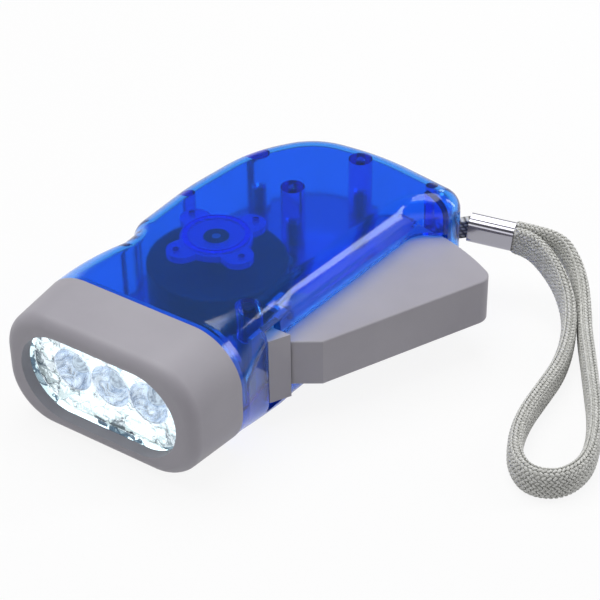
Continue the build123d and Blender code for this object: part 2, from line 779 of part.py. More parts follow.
with BuildPart() as lower_core:
    disc(rotor_centre, core_radius, core_low_z, core_low_z + core_plate)
    disc(rotor_centre, core_tube_radius, core_low_z, core_high_z - core_plate)
    claws(core_low_z + core_plate, core_high_z - core_plate - stator_air_gap, 0)
    disc(rotor_centre, core_eye_radius, core_low_z, core_high_z, Mode.SUBTRACT)
save(lower_core, "lower_core")

with BuildPart() as upper_core:
    disc(rotor_centre, core_radius, core_high_z - core_plate, core_high_z)
    claws(core_low_z + core_plate + stator_air_gap, core_high_z - core_plate, 180 / claw_count)
    disc(rotor_centre, core_eye_radius, core_low_z, core_high_z, Mode.SUBTRACT)
save(upper_core, "upper_core")

with BuildPart() as stator_coil:
    disc(rotor_centre, coil_outer_radius, core_low_z + core_plate, core_high_z - core_plate)
    disc(rotor_centre, core_tube_radius, core_low_z + core_plate, core_high_z, Mode.SUBTRACT)
save(stator_coil, "stator_coil")

with BuildPart() as stator_bracket:
    with BuildSketch(Plane.XY.offset(bracket_top_z - bracket_thickness)):
        with Locations(rotor_centre):
            Circle(bracket_hub_radius)
        for end in (*bracket_posts, drive_axis):
            middle = ((end[0] + rotor_x) / 2, (end[1] + rotor_y) / 2)
            reach = hypot(end[0] - rotor_x, end[1] - rotor_y)
            heading = degrees(atan2(end[1] - rotor_y, end[0] - rotor_x))
            with Locations(Location(middle, heading)):
                SlotCenterToCenter(reach, 2 * bracket_post_radius)
    extrude(amount=bracket_thickness)
    disc(rotor_centre, core_eye_radius, core_low_z - bracket_thickness, core_low_z, Mode.SUBTRACT)
    disc(drive_axis, axle_radius, bracket_top_z - bracket_thickness, bracket_top_z, Mode.SUBTRACT)
    with Locations(*[(x, y, bracket_top_z) for x, y in bracket_posts]):
        CounterSinkHole(bracket_screw_radius, bracket_screw_head_radius, depth=bracket_thickness)
save(stator_bracket, "stator_bracket")

with BuildPart() as bracket_screws:
    for post in bracket_posts:
        disc(post, bracket_screw_radius, bracket_top_z - bracket_screw_length, bracket_top_z)
        head_depth = bracket_screw_head_radius - bracket_screw_radius
        with BuildSketch(Plane.XY.offset(bracket_top_z - head_depth)):
            with Locations(post):
                Circle(bracket_screw_radius)
        with BuildSketch(Plane.XY.offset(bracket_top_z)):
            with Locations(post):
                Circle(bracket_screw_head_radius)
        loft()
save(bracket_screws, "bracket_screws")

# from the coil down past the core, along the floor and up to the board
lead_route = [
    (-6.0, -7.6, core_low_z), (-6.0, -7.6, 8.8), (-7.0, -18.0, 6.6),
    (-9.0, -25.0, 7.8), (-9.0, board_rear_y, 7.8),
]
with BuildPart() as coil_leads:
    for side in (0, -lead_gap):
        with BuildLine():
            lead_path = FilletPolyline(*[(x + side, y, z) for x, y, z in lead_route], radius=lead_bend)
        with BuildSketch(Plane(lead_path @ 0, z_dir=lead_path % 0)):
            Circle(lead_radius)
        sweep(path=lead_path)
save(coil_leads, "coil_leads")


# ================= Top bearing =================

with BuildPart() as bearing_plate:
    with BuildSketch(Plane.XY.offset(bearing_plate_top_z - bearing_plate_thickness)):
        with Locations(rotor_centre):
            Circle(bearing_plate_radius)
        for angle in lobe_angles:
            with Locations(Location(polar(rotor_centre, lobe_reach / 2, angle), angle)):
                SlotOverall(lobe_reach, lobe_width)
        with Locations(rotor_centre):
            Circle(bearing_bush_radius, mode=Mode.SUBTRACT)
        with Locations(*[polar(rotor_centre, stake_orbit, angle) for angle in lobe_angles]):
            Circle(stake_radius, mode=Mode.SUBTRACT)
    extrude(amount=bearing_plate_thickness)
save(bearing_plate, "bearing_plate")

with BuildPart() as bearing_bush:
    disc(rotor_centre, bearing_bush_radius, bearing_bush_low_z, bearing_plate_top_z)
    disc(rotor_centre, axle_radius, bearing_bush_low_z, bearing_plate_top_z, Mode.SUBTRACT)
save(bearing_bush, "bearing_bush")


# ================= Fasteners =================

with BuildPart() as housing_screws:
    for post in screw_posts:
        disc(post, screw_head_radius, counterbore_depth - screw_head_height, counterbore_depth)
        disc(post, screw_radius, counterbore_depth, counterbore_depth + screw_length)
save(housing_screws, "housing_screws")


# ================= Wrist strap =================

heading = Vector(*ferrule_heading).normalized()
across = Vector(-heading.Y, heading.X, 0).normalized()
ferrule_plane = Plane(Vector(*ferrule_start), x_dir=across, z_dir=heading)
ferrule_end = Vector(*ferrule_start) + heading * ferrule_length
legs_apart = strap_thickness / 2 + seat_clearance / 2

with BuildPart() as lanyard_ferrule:
    with BuildSketch(ferrule_plane):
        RectangleRounded(ferrule_width, ferrule_height, ferrule_round)
        offset(amount=-ferrule_wall, mode=Mode.SUBTRACT)
    extrude(amount=ferrule_length)
save(lanyard_ferrule, "lanyard_ferrule")

# The strap's crimped middle fills the ferrule, and its folded end goes round the tail's post.
with BuildPart() as lanyard_neck:
    with BuildSketch(ferrule_plane):
        RectangleRounded(
            ferrule_width - 2 * ferrule_wall, ferrule_height - 2 * ferrule_wall,
            ferrule_round - ferrule_wall,
        )
    extrude(amount=ferrule_length)
    with BuildSketch(Plane.XY.offset(ferrule_start[2] - neck_strap_height / 2)):
        with Locations(Location(((strap_post[0] + ferrule_start[0]) / 2,
                                 (strap_post[1] + ferrule_start[1]) / 2), neck_path_angle)):
            Rectangle(neck_run + 2 * neck_reach, neck_strap_thickness)
        with Locations(strap_post):
            Circle(strap_post_radius + running_clearance + neck_eye_wall)
            Circle(strap_post_radius + running_clearance, mode=Mode.SUBTRACT)
    extrude(amount=neck_strap_height)
save(lanyard_neck, "lanyard_neck")

out_start = ferrule_end + across * legs_apart
back_end = ferrule_end - across * legs_apart
strap_points = [
    out_start, out_start + heading * strap_lead,
    *[Vector(*point) for point in strap_route],
    back_end + heading * strap_lead, back_end,
]
bend_share = 0.45           # of the shorter leg at a corner, taken up by its bend
strap_radii = []
for before, corner, after in zip(strap_points, strap_points[1:], strap_points[2:]):
    run_in, run_out = corner - before, after - corner
    turn = radians(run_in.get_angle(run_out))
    strap_radii.append(bend_share * min(run_in.length, run_out.length) / tan(turn / 2))
print("strap bend radii", [round(radius, 1) for radius in strap_radii])

with BuildPart() as lanyard_loop:
    with BuildLine():
        strap_path = FilletPolyline(*strap_points, radius=strap_radii)
    with BuildSketch(Plane(out_start, x_dir=across, z_dir=heading)) as strap_section:
        RectangleRounded(strap_thickness, strap_width, strap_edge_round)
    sweep(path=strap_path)
print("strap length", round(strap_path.length, 1),
      "volume", round(lanyard_loop.part.volume, 1),
      "section times length", round(strap_section.sketch.area * strap_path.length, 1))
save(lanyard_loop, "lanyard_loop")
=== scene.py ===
# %% [markdown]
# A hand-squeeze flashlight: two translucent blue shells, a grey lamp head and lever, and a
# flat braided strap. The frame holds the pieces at their real size and place. This script
# gives them their finishes, weaves the strap, lines the reflector with crumpled foil, and
# lights them. Lengths are in metres, and mm turns millimetres into metres.

# %% Load the frame
import math
import random

import bmesh
import bpy
from mathutils import Matrix, Vector
from mathutils.geometry import delaunay_2d_cdt


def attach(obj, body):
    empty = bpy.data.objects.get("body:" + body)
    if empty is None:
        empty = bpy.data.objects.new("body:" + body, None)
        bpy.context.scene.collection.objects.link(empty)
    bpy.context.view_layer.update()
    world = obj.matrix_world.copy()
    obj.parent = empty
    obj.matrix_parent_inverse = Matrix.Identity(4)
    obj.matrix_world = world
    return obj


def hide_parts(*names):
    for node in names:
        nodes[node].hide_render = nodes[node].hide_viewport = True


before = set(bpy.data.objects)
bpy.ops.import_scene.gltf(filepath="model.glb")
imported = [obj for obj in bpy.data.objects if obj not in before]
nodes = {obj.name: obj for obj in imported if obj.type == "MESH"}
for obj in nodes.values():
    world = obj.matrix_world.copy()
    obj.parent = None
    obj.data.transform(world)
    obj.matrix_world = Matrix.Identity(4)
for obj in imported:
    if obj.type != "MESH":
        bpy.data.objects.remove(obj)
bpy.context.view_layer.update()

scene = bpy.context.scene
mm = 0.001


def add_object(name, data):
    thing = bpy.data.objects.new(name, data)
    scene.collection.objects.link(thing)
    return thing


print("pieces in the frame:", len(nodes))

# %% [markdown]
# The viewpoint comes first, because everything else is judged from it. A long lens from
# above the lever's side keeps the head and the tail nearly the same size. The place and the
# three angles were worked out from straight edges of the real object; the lens is long
# enough that a small upward shift only centres the picture.

# %% Camera
view_azimuth, view_elevation, view_roll = 34.9, 36.85, -0.83
camera_place = Vector((222.2, -289.7, 278.3)) * mm
sensor_width, lens_length, picture_shift = 36, 120, 0.0417
nearest_seen, farthest_seen = 0.01, 20

azimuth, elevation = math.radians(view_azimuth), math.radians(view_elevation)
back = Vector((
    math.sin(azimuth) * math.cos(elevation),
    -math.cos(azimuth) * math.cos(elevation),
    math.sin(elevation),
))
level = Vector((math.cos(azimuth), math.sin(azimuth), 0))
upward = back.cross(level)
roll = math.radians(view_roll)
right = level * math.cos(roll) + upward * math.sin(roll)
upright = upward * math.cos(roll) - level * math.sin(roll)
camera_turn = Matrix((right, upright, back)).transposed()

camera_data = bpy.data.cameras.new("camera")
camera_data.sensor_width = sensor_width
camera_data.lens = lens_length
camera_data.shift_y = picture_shift
camera_data.clip_start, camera_data.clip_end = nearest_seen, farthest_seen
camera = add_object("camera", camera_data)
camera.matrix_world = Matrix.Translation(camera_place) @ camera_turn.to_4x4()
scene.camera = camera
print("camera stands", round(camera_place.length, 3), "m away")

# %% [markdown]
# Every finish is built from nodes, since moulded plastic, plated metal and yarn all differ
# by a few numbers and a little roughness. These helpers keep the trees short: they make a
# material and hand over its shader, add a node with its sockets set, join sockets, and put
# a finish on pieces of the frame.

# %% Node helpers
def new_material(name, colour, roughness, **sockets):
    material = bpy.data.materials.new(name)
    material.use_nodes = True
    shader = material.node_tree.nodes["Principled BSDF"]
    shader.inputs["Base Color"].default_value = (*colour, 1)
    shader.inputs["Roughness"].default_value = roughness
    for socket, value in sockets.items():
        shader.inputs[socket.replace("_", " ")].default_value = value
    return material, shader


def add_node(owner, kind, **values):
    """A node whose values go to the sockets of that name, or else to its settings."""
    node = owner.node_tree.nodes.new(kind)
    for name, value in values.items():
        socket = node.inputs.get(name.replace("_", " "))
        if socket is None:
            setattr(node, name, value)
        else:
            socket.default_value = value
    return node


def wire(owner, *pairs):
    for source, target in pairs:
        owner.node_tree.links.new(source, target)


def add_ramp(owner, low, high):
    """A colour ramp between two ends, each given as a position and a colour."""
    ramp = add_node(owner, "ShaderNodeValToRGB")
    for index, (position, colour) in enumerate((low, high)):
        ramp.color_ramp.elements[index].position = position
        ramp.color_ramp.elements[index].color = (*colour, 1)
    return ramp


def grain(material, shader, scale, strength, distance):
    """Fine random bump on the object's own coordinates."""
    place = add_node(material, "ShaderNodeTexCoord")
    noise = add_node(material, "ShaderNodeTexNoise", Scale=scale, Detail=3.0, Roughness=0.6)
    bump = add_node(material, "ShaderNodeBump", Strength=strength, Distance=distance)
    wire(
        material,
        (place.outputs["Object"], noise.inputs["Vector"]),
        (noise.outputs["Fac"], bump.inputs["Height"]),
        (bump.outputs["Normal"], shader.inputs["Normal"]),
    )


def mottle(material, shader, dark, light, scale):
    """Slow change between two close colours."""
    place = add_node(material, "ShaderNodeTexCoord")
    noise = add_node(material, "ShaderNodeTexNoise", Scale=scale, Detail=4.0)
    ramp = add_ramp(material, (0.35, dark), (0.65, light))
    wire(
        material,
        (place.outputs["Object"], noise.inputs["Vector"]),
        (noise.outputs["Fac"], ramp.inputs["Fac"]),
        (ramp.outputs["Color"], shader.inputs["Base Color"]),
    )


def wear(material, *names):
    """Give pieces of the frame one finish."""
    for name in names:
        mesh = nodes[name].data
        mesh.materials.clear()
        mesh.materials.append(material)
    print(material.name, "on", ", ".join(names))

# %% [markdown]
# The head, the lever and the lock slider are moulded in one warm grey plastic. Its mould
# was spark-eroded, which leaves a very fine even grain and a soft, dull gloss. A fine bump
# makes the grain, and two close greys keep large faces from looking painted.

# %% Grey plastic
grey_plastic, grey_shader = new_material("grey_plastic", (0.37, 0.355, 0.395), 0.5)
mottle(grey_plastic, grey_shader, (0.355, 0.34, 0.38), (0.385, 0.37, 0.41), scale=60)
grain(grey_plastic, grey_shader, scale=3500, strength=0.12, distance=0.0001)
wear(grey_plastic, "head_bezel", "lever", "lock_slider")

# %% [markdown]
# The shells are tinted polycarbonate. Light goes in and comes out again, so the walls glow
# blue where nothing stands behind them and turn navy over the flywheel. A transmissive
# shader does that; lamp light would stop at it, so for shadow rays it turns into a plain
# blue filter. The lower shell is a duller, deeper copy of the same plastic, which paints in
# the shade that falls under the object; the plate over the flywheel is duller and deeper too.

# %% Blue shells
def tinted_plastic(name, colour, roughness, clearness, filter_colour, ior=1.5):
    material, shader = new_material(
        name, colour, roughness, Transmission_Weight=clearness, IOR=ior
    )
    output = material.node_tree.nodes["Material Output"]
    path = add_node(material, "ShaderNodeLightPath")
    clear = add_node(material, "ShaderNodeBsdfTransparent", Color=(*filter_colour, 1))
    mix = add_node(material, "ShaderNodeMixShader")
    wire(
        material,
        (path.outputs["Is Shadow Ray"], mix.inputs["Fac"]),
        (shader.outputs["BSDF"], mix.inputs[1]),
        (clear.outputs["BSDF"], mix.inputs[2]),
        (mix.outputs["Shader"], output.inputs["Surface"]),
    )
    return material, shader


blue_finishes = [
    # name, colour, roughness, clearness, filter, (grain scale, strength, distance), piece
    ("blue_shell", (0.05, 0.32, 0.97), 0.1, 0.955, (0.22, 0.54, 0.98), (900, 0.03, 0.0002),
     "top_shell"),
    # the lower shell: the same plastic made darker, painted shade for the shadow beneath the
    # object
    ("blue_shell_shaded", (0.035, 0.17, 0.8), 0.2, 0.86, (0.2, 0.45, 0.95), (900, 0.03, 0.0002),
     "bottom_shell"),
    ("plate_blue", (0.03, 0.16, 0.7), 0.25, 0.6, (0.3, 0.5, 1.0), (600, 0.05, 0.0002),
     "bearing_plate"),
]
for name, colour, roughness, clearness, filter_colour, texture, piece in blue_finishes:
    material, shader = tinted_plastic(name, colour, roughness, clearness, filter_colour)
    grain(material, shader, *texture)
    wear(material, piece)

# %% [markdown]
# Behind the shells nearly everything is black or bare metal. Seen through blue these
# pieces only need the right darkness and a little sheen, but each finish gets its own
# grain, so that it holds up when the shells come off. One table lists them all, and with
# them the strap's ferrule, which stands outside: a crimped tube of bright plated brass.

# %% Works inside
plain_finishes = [
    # name, colour, roughness, metal, (grain scale, strength, distance), pieces
    ("black_plastic", (0.012, 0.012, 0.014), 0.45, 0.0, (1500, 0.1, 0.0001),
     ("stator_bracket", "rectifier_diodes", "smoothing_capacitor")),
    ("bush_brown", (0.03, 0.016, 0.014), 0.35, 0.0, (1500, 0.1, 0.0001), ("bearing_bush",)),
    ("flywheel_black", (0.01, 0.01, 0.013), 0.38, 0.0, (900, 0.15, 0.0002), ("flywheel",)),
    ("magnet_grey", (0.05, 0.05, 0.055), 0.6, 0.0, (2500, 0.3, 0.0002), ("magnet_ring",)),
    ("gear_ivory", (0.62, 0.6, 0.52), 0.4, 0.0, (1200, 0.08, 0.0001),
     ("drive_gear", "flywheel_pinion")),
    ("bright_steel", (0.56, 0.56, 0.57), 0.28, 1.0, (2500, 0.12, 0.0001),
     ("lever_pivot_pin", "drive_gear_axle", "flywheel_axle", "return_spring",
      "bracket_screws")),
    ("dark_steel", (0.09, 0.05, 0.05), 0.4, 0.7, (1800, 0.15, 0.0001), ("housing_screws",)),
    ("core_steel", (0.32, 0.32, 0.34), 0.42, 1.0, (1800, 0.2, 0.0001),
     ("lower_core", "upper_core")),
    ("lead_red", (0.4, 0.02, 0.015), 0.35, 0.0, (900, 0.05, 0.0001), ("coil_leads",)),
    ("gasket_black", (0.01, 0.012, 0.02), 0.6, 0.0, (1500, 0.1, 0.0001), ("lens_gasket",)),
    ("ferrule_chrome", (0.36, 0.355, 0.4), 0.12, 1.0, (500, 0.04, 0.0002),
     ("lanyard_ferrule",)),
]
for name, colour, roughness, metal, texture, pieces in plain_finishes:
    material, shader = new_material(name, colour, roughness, Metallic=metal)
    grain(material, shader, *texture)
    wear(material, *pieces)

# %% [markdown]
# The coil is enamelled copper. Thin rings of light and shade round the coil's axis read as
# its many turns; a wave texture makes them, laid level so that each ring lies flat. The
# board's green varnish over its copper tracks is a mottle of two greens.

# %% Coil and board
copper, copper_shader = new_material("copper", (0.55, 0.2, 0.07), 0.3, Metallic=1.0)
coil_place = add_node(copper, "ShaderNodeTexCoord")
coil_rings = add_node(copper, "ShaderNodeTexWave", bands_direction="Z", Scale=900.0)
coil_bump = add_node(copper, "ShaderNodeBump", Strength=0.5, Distance=0.0002)
wire(
    copper,
    (coil_place.outputs["Object"], coil_rings.inputs["Vector"]),
    (coil_rings.outputs["Fac"], coil_bump.inputs["Height"]),
    (coil_bump.outputs["Normal"], copper_shader.inputs["Normal"]),
)
wear(copper, "stator_coil")
board_green, board_shader = new_material("board_green", (0.02, 0.16, 0.05), 0.3)
mottle(board_green, board_shader, (0.015, 0.13, 0.04), (0.03, 0.2, 0.07), scale=900)
wear(board_green, "led_board")

# %% [markdown]
# The three lamps are lit. Each is a clear epoxy dome over a small bright chip, so it glows
# in patches and falls dark towards its rim. Distorted noise makes the patches, and the
# slant of the surface to the viewer dims them near the edge.

# %% Lit lamps
led_glow, led_shader = new_material(
    "led_glow", (0.12, 0.15, 0.19), 0.08, Emission_Strength=0.7
)
led_place = add_node(led_glow, "ShaderNodeTexCoord")
led_noise = add_node(led_glow, "ShaderNodeTexNoise", Scale=520.0, Detail=2.0, Distortion=2.0)
led_edge = add_node(led_glow, "ShaderNodeLayerWeight", Blend=0.35)
led_rim = add_node(
    led_glow, "ShaderNodeMapRange", From_Min=0.55, From_Max=0.9, To_Min=1.0, To_Max=0.1
)
led_level = add_node(led_glow, "ShaderNodeMath", operation="MULTIPLY")
led_ramp = add_ramp(led_glow, (0.3, (0.1, 0.15, 0.24)), (0.62, (0.7, 0.84, 0.95)))
wire(
    led_glow,
    (led_place.outputs["Object"], led_noise.inputs["Vector"]),
    (led_edge.outputs["Facing"], led_rim.inputs["Value"]),
    (led_noise.outputs["Fac"], led_level.inputs[0]),
    (led_rim.outputs["Result"], led_level.inputs[1]),
    (led_level.outputs[0], led_ramp.inputs["Fac"]),
    (led_ramp.outputs["Color"], led_shader.inputs["Emission Color"]),
)
wear(led_glow, "led_1", "led_2", "led_3")

# %% [markdown]
# The metallised reflector breaks the lamps' light into bright patches with thin dark creases.
# Both are painted: the glow is a painted reflection of the lamps, and the creases are painted
# shade. A distorted cell pattern drives both the painted glow and the bump, so that creases and
# patches fall together; each cell has its own painted brightness, and all fade towards the far
# end as painted falloff.

# %% Reflector
warp_reach = 0.006
# painted light: the emission stands in for the lamps' light mirrored in the foil
mirror_foil, mirror_shader = new_material(
    "mirror_foil", (0.8, 0.85, 0.88), 0.14, Metallic=1.0, Emission_Strength=0.75
)
foil_place = add_node(mirror_foil, "ShaderNodeTexCoord")
foil_warp = add_node(mirror_foil, "ShaderNodeTexNoise", Scale=330.0, Detail=3.0)
foil_shift = add_node(mirror_foil, "ShaderNodeVectorMath", operation="MULTIPLY_ADD")
foil_shift.inputs[1].default_value = (warp_reach, warp_reach, warp_reach)
# painted glints: each cell gets its own random brightness of glow
foil_cells, foil_glint_cells = (
    add_node(mirror_foil, "ShaderNodeTexVoronoi", feature=feature, Scale=230.0)
    for feature in ("DISTANCE_TO_EDGE", "F1")
)
foil_grey = add_node(mirror_foil, "ShaderNodeSeparateColor")
# painted shade: the glow darkens along the cells' edges, where the foil creases
foil_painted_crease_shade = add_node(mirror_foil, "ShaderNodeMapRange", From_Max=0.12, To_Min=0.25)
foil_mix = add_node(mirror_foil, "ShaderNodeMath", operation="MULTIPLY")
foil_side = add_node(mirror_foil, "ShaderNodeSeparateXYZ")
# painted falloff: the glow dims towards the reflector's far end
foil_painted_falloff = add_node(
    mirror_foil, "ShaderNodeMapRange", From_Min=-0.019, From_Max=-0.006, To_Min=0.45
)
foil_level = add_node(mirror_foil, "ShaderNodeMath", operation="MULTIPLY")
foil_ramp = add_ramp(mirror_foil, (0.1, (0.05, 0.07, 0.09)), (0.38, (0.85, 1.0, 1.0)))
foil_bump = add_node(mirror_foil, "ShaderNodeBump", Strength=0.9, Distance=0.0008)
wire(
    mirror_foil,
    (foil_place.outputs["Object"], foil_warp.inputs["Vector"]),
    (foil_warp.outputs["Color"], foil_shift.inputs[0]),
    (foil_place.outputs["Object"], foil_shift.inputs[2]),
    (foil_shift.outputs["Vector"], foil_cells.inputs["Vector"]),
    (foil_shift.outputs["Vector"], foil_glint_cells.inputs["Vector"]),
    (foil_glint_cells.outputs["Color"], foil_grey.inputs["Color"]),
    (foil_cells.outputs["Distance"], foil_painted_crease_shade.inputs["Value"]),
    (foil_grey.outputs["Red"], foil_mix.inputs[0]),
    (foil_painted_crease_shade.outputs["Result"], foil_mix.inputs[1]),
    (foil_place.outputs["Object"], foil_side.inputs["Vector"]),
    (foil_side.outputs["X"], foil_painted_falloff.inputs["Value"]),
    (foil_mix.outputs[0], foil_level.inputs[0]),
    (foil_painted_falloff.outputs["Result"], foil_level.inputs[1]),
    (foil_level.outputs[0], foil_ramp.inputs["Fac"]),
    (foil_ramp.outputs["Color"], mirror_shader.inputs["Emission Color"]),
    (foil_cells.outputs["Distance"], foil_bump.inputs["Height"]),
    (foil_bump.outputs["Normal"], mirror_shader.inputs["Normal"]),
)
wear(mirror_foil, "reflector")

# %% [markdown]
# The lens is a flat clear window. It is made like the shells but without tint, and with a
# low bending of light, so that the lamps stay where they are seen.

# %% Lens
clear_lens, lens_shader = tinted_plastic(
    "clear_lens", (0.97, 0.99, 1.0), 0.02, 1.0, (1, 1, 1), ior=1.3
)
grain(clear_lens, lens_shader, scale=120, strength=0.02, distance=0.0002)
wear(clear_lens, "lens")

# %% [markdown]
# The reflector is a shallow bowl with a round-ended edge, and the lamps stand in it in a
# row. These sizes repeat the solid's. Two functions say how far inside the edge a point
# lies and where the bowl's surface is there, so that the lining can follow it.

# %% Bowl
mid_z = 15.0 * mm
window_width, window_height = 41.5 * mm, 21.5 * mm
straight_half, end_radius = (window_width - window_height) / 2, window_height / 2
bowl_front, bowl_floor, slope_width = -41.0 * mm, -39.7 * mm, 2.5 * mm
lamp_stations = [-10.2 * mm, 0.0, 10.2 * mm]
cup_rim = 4.98 * mm


def depth_in_window(x, z):
    """Distance from the stadium-shaped edge of the bowl; negative outside it."""
    return end_radius - math.hypot(max(abs(x) - straight_half, 0), z)


def bowl_surface(x, z):
    share = min(max(depth_in_window(x, z) / slope_width, 0), 1)
    return bowl_front + (bowl_floor - bowl_front) * share


def lamp_distance(x, z):
    return min(math.hypot(x - station, z) for station in lamp_stations)


def circle_steps(count, offset=0):
    return [(index + offset) * 2 * math.pi / count for index in range(count)]


print("bowl floor lies", round((bowl_floor - bowl_front) / mm, 1), "mm deep")

# %% [markdown]
# The glitter behind the lens is crumpled foil: flat scraps of mirror at odd angles, which also
# carry the reflector's painted glow. Their corners are a jittered grid of points that keeps
# clear of the bowl's edge and of the lamps, closed by a loop of points along the edge and one
# round each lamp.

# %% Foil points
foil_pitch, jitter = 1.6 * mm, (0.1, 0.9)
edge_margin, hole_margin = foil_pitch * 0.4, foil_pitch * 0.3
edge_gap = 0.05 * mm
edge_steps, hole_steps = 56, 28
flat_points, fixed_edges = [], []

random.seed(7)
columns, rows = int(window_width / foil_pitch) + 1, int(window_height / foil_pitch) + 1
for column in range(columns):
    for row in range(rows):
        x = -window_width / 2 + (column + random.uniform(*jitter)) * foil_pitch
        z = -window_height / 2 + (row + random.uniform(*jitter)) * foil_pitch
        if depth_in_window(x, z) > edge_margin and lamp_distance(x, z) > cup_rim + hole_margin:
            flat_points.append(Vector((x, z)))


def add_loop(points):
    first, count = len(flat_points), len(points)
    flat_points.extend(points)
    fixed_edges.extend((first + index, first + (index + 1) % count) for index in range(count))


edge_radius = end_radius - edge_gap
add_loop([
    Vector((
        math.copysign(straight_half, math.cos(angle)) + edge_radius * math.cos(angle),
        edge_radius * math.sin(angle),
    ))
    for angle in circle_steps(edge_steps, 0.5)
])
for station in lamp_stations:
    add_loop([
        Vector((station + cup_rim * math.cos(angle), cup_rim * math.sin(angle)))
        for angle in circle_steps(hole_steps)
    ])
print("foil points:", len(flat_points))

# %% [markdown]
# The points are joined into triangles and each is pushed a little way out of the bowl at
# random, which crumples the sheet. Left flat-shaded, every scrap mirrors its own patch of
# the room, and the finish paints its glow on top. The push stops short of the lens, and the
# outermost points stay still.

# %% Foil lining
crumple, foil_standoff = 0.9 * mm, 0.1 * mm
still_band = foil_pitch * 0.3
hole_share = 0.98
merge_distance = 1e-7

flat, _, scraps, *_ = delaunay_2d_cdt(flat_points, fixed_edges, [], 0, merge_distance)
foil_verts = []
for x, z in flat:
    push = 0 if depth_in_window(x, z) < still_band else random.uniform(0, crumple)
    depth = max(bowl_surface(x, z) - foil_standoff - push, bowl_front)
    foil_verts.append((x, depth, mid_z + z))
foil_faces = []
for scrap in scraps:
    centre_x = sum(flat[corner][0] for corner in scrap) / 3
    centre_z = sum(flat[corner][1] for corner in scrap) / 3
    outside_cups = lamp_distance(centre_x, centre_z) > cup_rim * hole_share
    if depth_in_window(centre_x, centre_z) > 0 and outside_cups:
        foil_faces.append(tuple(scrap))
foil_mesh = bpy.data.meshes.new("foil_lining")
foil_mesh.from_pydata(foil_verts, [], foil_faces)
work = bmesh.new()
work.from_mesh(foil_mesh)
for face in work.faces:
    if face.normal.y > 0:
        face.normal_flip()
work.to_mesh(foil_mesh)
work.free()
foil = add_object("foil_lining", foil_mesh)
# the foil wears the reflector's finish, with its painted glow
foil.data.materials.append(mirror_foil)
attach(foil, "housing")
print("foil scraps:", len(foil_faces))

# %% [markdown]
# The cups are plated like the bowl but smooth. What they mirror is mostly their own lamp,
# drawn out into streaks; these are painted in as glow, a painted reflection, and strongly
# distorted noise gives those streaks and a slight bump.

# %% Cup finish
# painted reflection: the emission stands in for the lamp mirrored in its cup
cup_mirror, cup_shader = new_material(
    "cup_mirror", (0.72, 0.78, 0.86), 0.1, Metallic=1.0, Emission_Strength=0.42
)
cup_place = add_node(cup_mirror, "ShaderNodeTexCoord")
cup_swirl = add_node(cup_mirror, "ShaderNodeTexNoise", Scale=260.0, Detail=3.0, Distortion=3.0)
cup_painted_reflection_ramp = add_ramp(cup_mirror, (0.4, (0.06, 0.1, 0.2)), (0.64, (0.85, 0.95, 1.0)))
cup_bump = add_node(cup_mirror, "ShaderNodeBump", Strength=0.35, Distance=0.0006)
wire(
    cup_mirror,
    (cup_place.outputs["Object"], cup_swirl.inputs["Vector"]),
    (cup_swirl.outputs["Fac"], cup_painted_reflection_ramp.inputs["Fac"]),
    (cup_swirl.outputs["Fac"], cup_bump.inputs["Height"]),
    (cup_painted_reflection_ramp.outputs["Color"], cup_shader.inputs["Emission Color"]),
    (cup_bump.outputs["Normal"], cup_shader.inputs["Normal"]),
)
print("finish for the cups:", cup_mirror.name)

# %% [markdown]
# Each lamp stands in a smooth bright cup whose rolled rim lies just behind the lens; from
# the front the three rims are what one sees first. A cup is a profile turned about the
# lamp's axis, which a ring of points for each step of the profile makes directly.

# %% Lamp cups
# radius and y in millimetres, from outside the rolled rim inwards to the lamp
cup_profile = [
    (5.16, -40.6), (5.17, -40.86), (5.08, -41.0), (4.96, -40.98), (4.86, -40.7), (4.62, -39.9),
    (4.25, -39.0), (3.8, -38.1), (3.3, -37.2), (2.8, -36.4),
]
cup_steps, frontward = 48, -2 * mm


def skin(work, rings):
    """Smooth faces between rings of points that follow one another."""
    for ring, after in zip(rings, rings[1:]):
        for corner in range(len(ring)):
            beside = (corner + 1) % len(ring)
            corners = (ring[corner], ring[beside], after[beside], after[corner])
            work.faces.new(corners).smooth = True


cups_mesh = bpy.data.meshes.new("lamp_cups")
work = bmesh.new()
for station in lamp_stations:
    skin(work, [
        [
            work.verts.new((
                station + radius * mm * math.cos(angle),
                y * mm,
                mid_z + radius * mm * math.sin(angle),
            ))
            for angle in circle_steps(cup_steps)
        ]
        for radius, y in cup_profile
    ])
for face in work.faces:
    centre = face.calc_center_median()
    nearest = min(lamp_stations, key=lambda station: abs(centre.x - station))
    inward = Vector((nearest - centre.x, frontward, mid_z - centre.z))
    if face.normal.dot(inward) < 0:
        face.normal_flip()
work.to_mesh(cups_mesh)
work.free()
cups = add_object("lamp_cups", cups_mesh)
cups.data.materials.append(cup_mirror)
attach(cups, "housing")
print("cup faces:", len(cups_mesh.polygons))

# %% [markdown]
# The strap is a hollow braid pressed flat, seven millimetres wide, folded in two so that
# both ends go into the ferrule. Its middle line is a smooth NURBS curve through a few
# listed points, because a flat braid that stands on its edge bends evenly.

